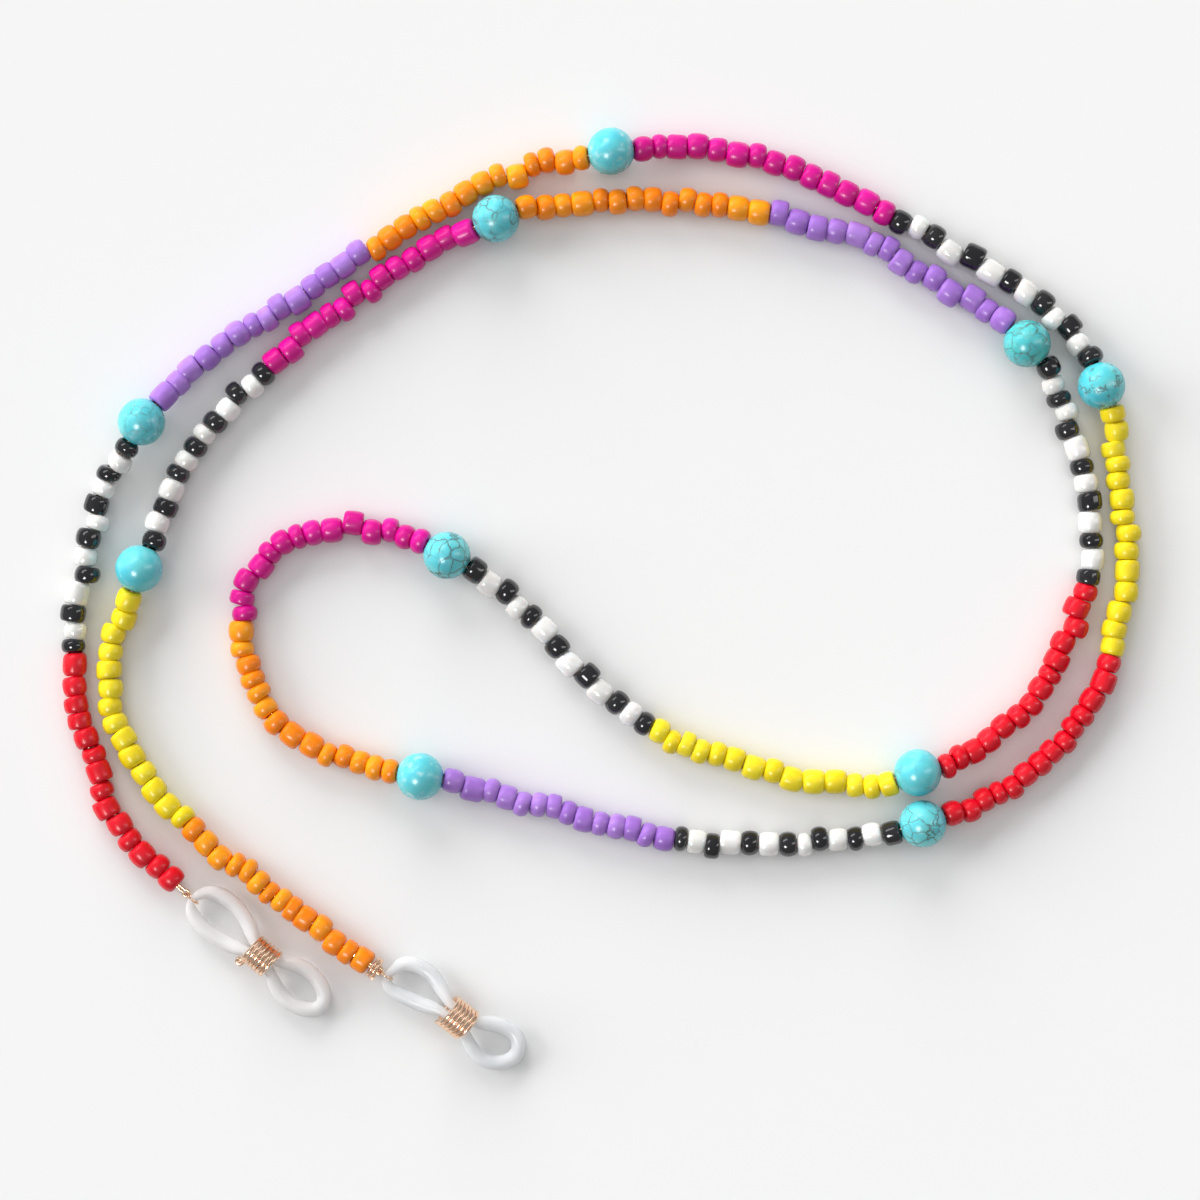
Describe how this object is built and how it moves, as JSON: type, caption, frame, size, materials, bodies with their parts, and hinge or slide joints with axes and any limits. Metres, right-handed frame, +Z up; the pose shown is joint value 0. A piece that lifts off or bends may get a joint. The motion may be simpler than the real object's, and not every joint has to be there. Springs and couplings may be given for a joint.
{
  "type": "eyeglass retainer strap",
  "caption": "Beaded eyeglass chain of coloured glass seed beads and turquoise stones on fine wire, with a silicone loop and a coil slider at each end.",
  "frame": {"origin": "middle of the strap's footprint, on the surface it lies on", "axes": "+Z up from the surface; +X along the longer side of the laid-out spiral; +Y away from the two silicone loops"},
  "size_m": [0.1344, 0.1176, 0.0059],
  "materials": {
    "red_glass": "opaque glossy glass seed bead",
    "magenta_glass": "opaque glossy glass seed bead",
    "orange_glass": "opaque glossy glass seed bead",
    "yellow_glass": "opaque glossy glass seed bead",
    "purple_glass": "opaque glossy glass seed bead",
    "black_and_white_glass": "black glossy and milky white seed beads in turn",
    "turquoise_stone": "polished turquoise with brown crackle",
    "clear_silicone": "milky translucent silicone tube",
    "rose_gold_wire": "polished rose-gold plate",
    "beading_wire": "bright fine wire"
  },
  "bodies": {
    "root": {"striped_beads_1": "black_and_white_glass", "purple_beads_1": "purple_glass", "orange_beads_1": "orange_glass", "magenta_beads_1": "magenta_glass", "striped_beads_2": "black_and_white_glass", "yellow_beads_1": "yellow_glass", "red_beads_2": "red_glass", "striped_beads_3": "black_and_white_glass", "purple_beads_2": "purple_glass", "orange_beads_2": "orange_glass", "magenta_beads_2": "magenta_glass", "striped_beads_4": "black_and_white_glass", "yellow_beads_2": "yellow_glass", "red_beads_3": "red_glass", "striped_beads_5": "black_and_white_glass", "purple_beads_3": "purple_glass", "orange_beads_3": "orange_glass", "magenta_beads_3": "magenta_glass", "striped_beads_6": "black_and_white_glass", "yellow_beads_3": "yellow_glass", "stringing_wire": "beading_wire"},
    "stone_01": {"turquoise_stone_01": "turquoise_stone"},
    "stone_02": {"turquoise_stone_02": "turquoise_stone"},
    "stone_03": {"turquoise_stone_03": "turquoise_stone"},
    "stone_04": {"turquoise_stone_04": "turquoise_stone"},
    "stone_05": {"turquoise_stone_05": "turquoise_stone"},
    "stone_06": {"turquoise_stone_06": "turquoise_stone"},
    "stone_07": {"turquoise_stone_07": "turquoise_stone"},
    "stone_08": {"turquoise_stone_08": "turquoise_stone"},
    "stone_09": {"turquoise_stone_09": "turquoise_stone"},
    "stone_10": {"turquoise_stone_10": "turquoise_stone"},
    "strand_end_a": {"red_beads_1": "red_glass", "stringing_wire_end_a": "beading_wire", "crimp_a": "rose_gold_wire"},
    "ring_a": {"jump_ring_a": "rose_gold_wire"},
    "loop_a": {"silicone_loop_a": "clear_silicone"},
    "slider_a": {"coil_slider_a": "rose_gold_wire"},
    "strand_end_b": {"orange_beads_4": "orange_glass", "stringing_wire_end_b": "beading_wire", "crimp_b": "rose_gold_wire", "wire_collar_b": "rose_gold_wire"},
    "ring_b": {"jump_ring_b": "rose_gold_wire"},
    "loop_b": {"silicone_loop_b": "clear_silicone"},
    "slider_b": {"coil_slider_b": "rose_gold_wire"}
  },
  "joints": [
    {"name": "stone_spin_01", "type": "hinge", "parent": "root", "child": "stone_01", "pos_m": [-0.05712, 0.02218, 0.00295], "axis": [0.6045, 0.7966, 0], "continuous": true},
    {"name": "stone_spin_02", "type": "hinge", "parent": "root", "child": "stone_02", "pos_m": [0.00136, 0.0559, 0.00295], "axis": [0.992, 0.1262, 0], "continuous": true},
    {"name": "stone_spin_03", "type": "hinge", "parent": "root", "child": "stone_03", "pos_m": [0.06246, 0.02671, 0.00295], "axis": [0.374, -0.9274, 0], "continuous": true},
    {"name": "stone_spin_04", "type": "hinge", "parent": "root", "child": "stone_04", "pos_m": [0.04021, -0.02787, 0.00295], "axis": [-0.9641, -0.2655, 0], "continuous": true},
    {"name": "stone_spin_05", "type": "hinge", "parent": "root", "child": "stone_05", "pos_m": [-0.02243, -0.02199, 0.00295], "axis": [-0.9826, 0.1858, 0], "continuous": true},
    {"name": "stone_spin_06", "type": "hinge", "parent": "root", "child": "stone_06", "pos_m": [-0.01906, 0.00555, 0.00295], "axis": [0.8773, -0.4799, 0], "continuous": true},
    {"name": "stone_spin_07", "type": "hinge", "parent": "root", "child": "stone_07", "pos_m": [0.03959, -0.02151, 0.00295], "axis": [0.9552, 0.2961, 0], "continuous": true},
    {"name": "stone_spin_08", "type": "hinge", "parent": "root", "child": "stone_08", "pos_m": [0.05319, 0.03194, 0.00295], "axis": [-0.6784, 0.7347, 0], "continuous": true},
    {"name": "stone_spin_09", "type": "hinge", "parent": "root", "child": "stone_09", "pos_m": [-0.01298, 0.0475, 0.00295], "axis": [-0.9483, -0.3172, 0], "continuous": true},
    {"name": "stone_spin_10", "type": "hinge", "parent": "root", "child": "stone_10", "pos_m": [-0.05742, 0.0039, 0.00295], "axis": [-0.358, -0.9337, 0], "continuous": true},
    {"name": "strand_flex_a", "type": "hinge", "parent": "root", "child": "strand_end_a", "pos_m": [-0.06567, -0.00659, 0.00152], "axis": [0, 0, -1], "range_deg": [-1, 15]},
    {"name": "ring_swing_a", "type": "hinge", "parent": "strand_end_a", "child": "ring_a", "pos_m": [-0.0517, -0.03667, 0.00152], "axis": [0, 0, -1], "range_deg": [-1.5, 35]},
    {"name": "loop_lift_a", "type": "hinge", "parent": "ring_a", "child": "loop_a", "pos_m": [-0.05086, -0.03742, 0.00152], "axis": [-0.6691, -0.7431, 0], "range_deg": [0, 110]},
    {"name": "slider_slide_a", "type": "slide", "parent": "loop_a", "child": "slider_a", "axis": [0.7727, -0.6347, 0], "range_m": [-0.0015, 0.004], "deforming": ["silicone_loop_a"]},
    {"name": "strand_flex_b", "type": "hinge", "parent": "root", "child": "strand_end_b", "pos_m": [-0.05156, -0.02797, 0.00152], "axis": [0, 0, 1], "range_deg": [-2, 12]},
    {"name": "ring_swing_b", "type": "hinge", "parent": "strand_end_b", "child": "ring_b", "pos_m": [-0.02756, -0.04639, 0.00152], "axis": [0, 0, 1], "range_deg": [-20, 20]},
    {"name": "loop_lift_b", "type": "hinge", "parent": "ring_b", "child": "loop_b", "pos_m": [-0.02661, -0.047, 0.00152], "axis": [-0.5446, -0.8387, 0], "range_deg": [0, 110]},
    {"name": "slider_slide_b", "type": "slide", "parent": "loop_b", "child": "slider_b", "axis": [0.766, -0.6428, 0], "range_m": [-0.0015, 0.004], "deforming": ["silicone_loop_b"]}
  ]
}
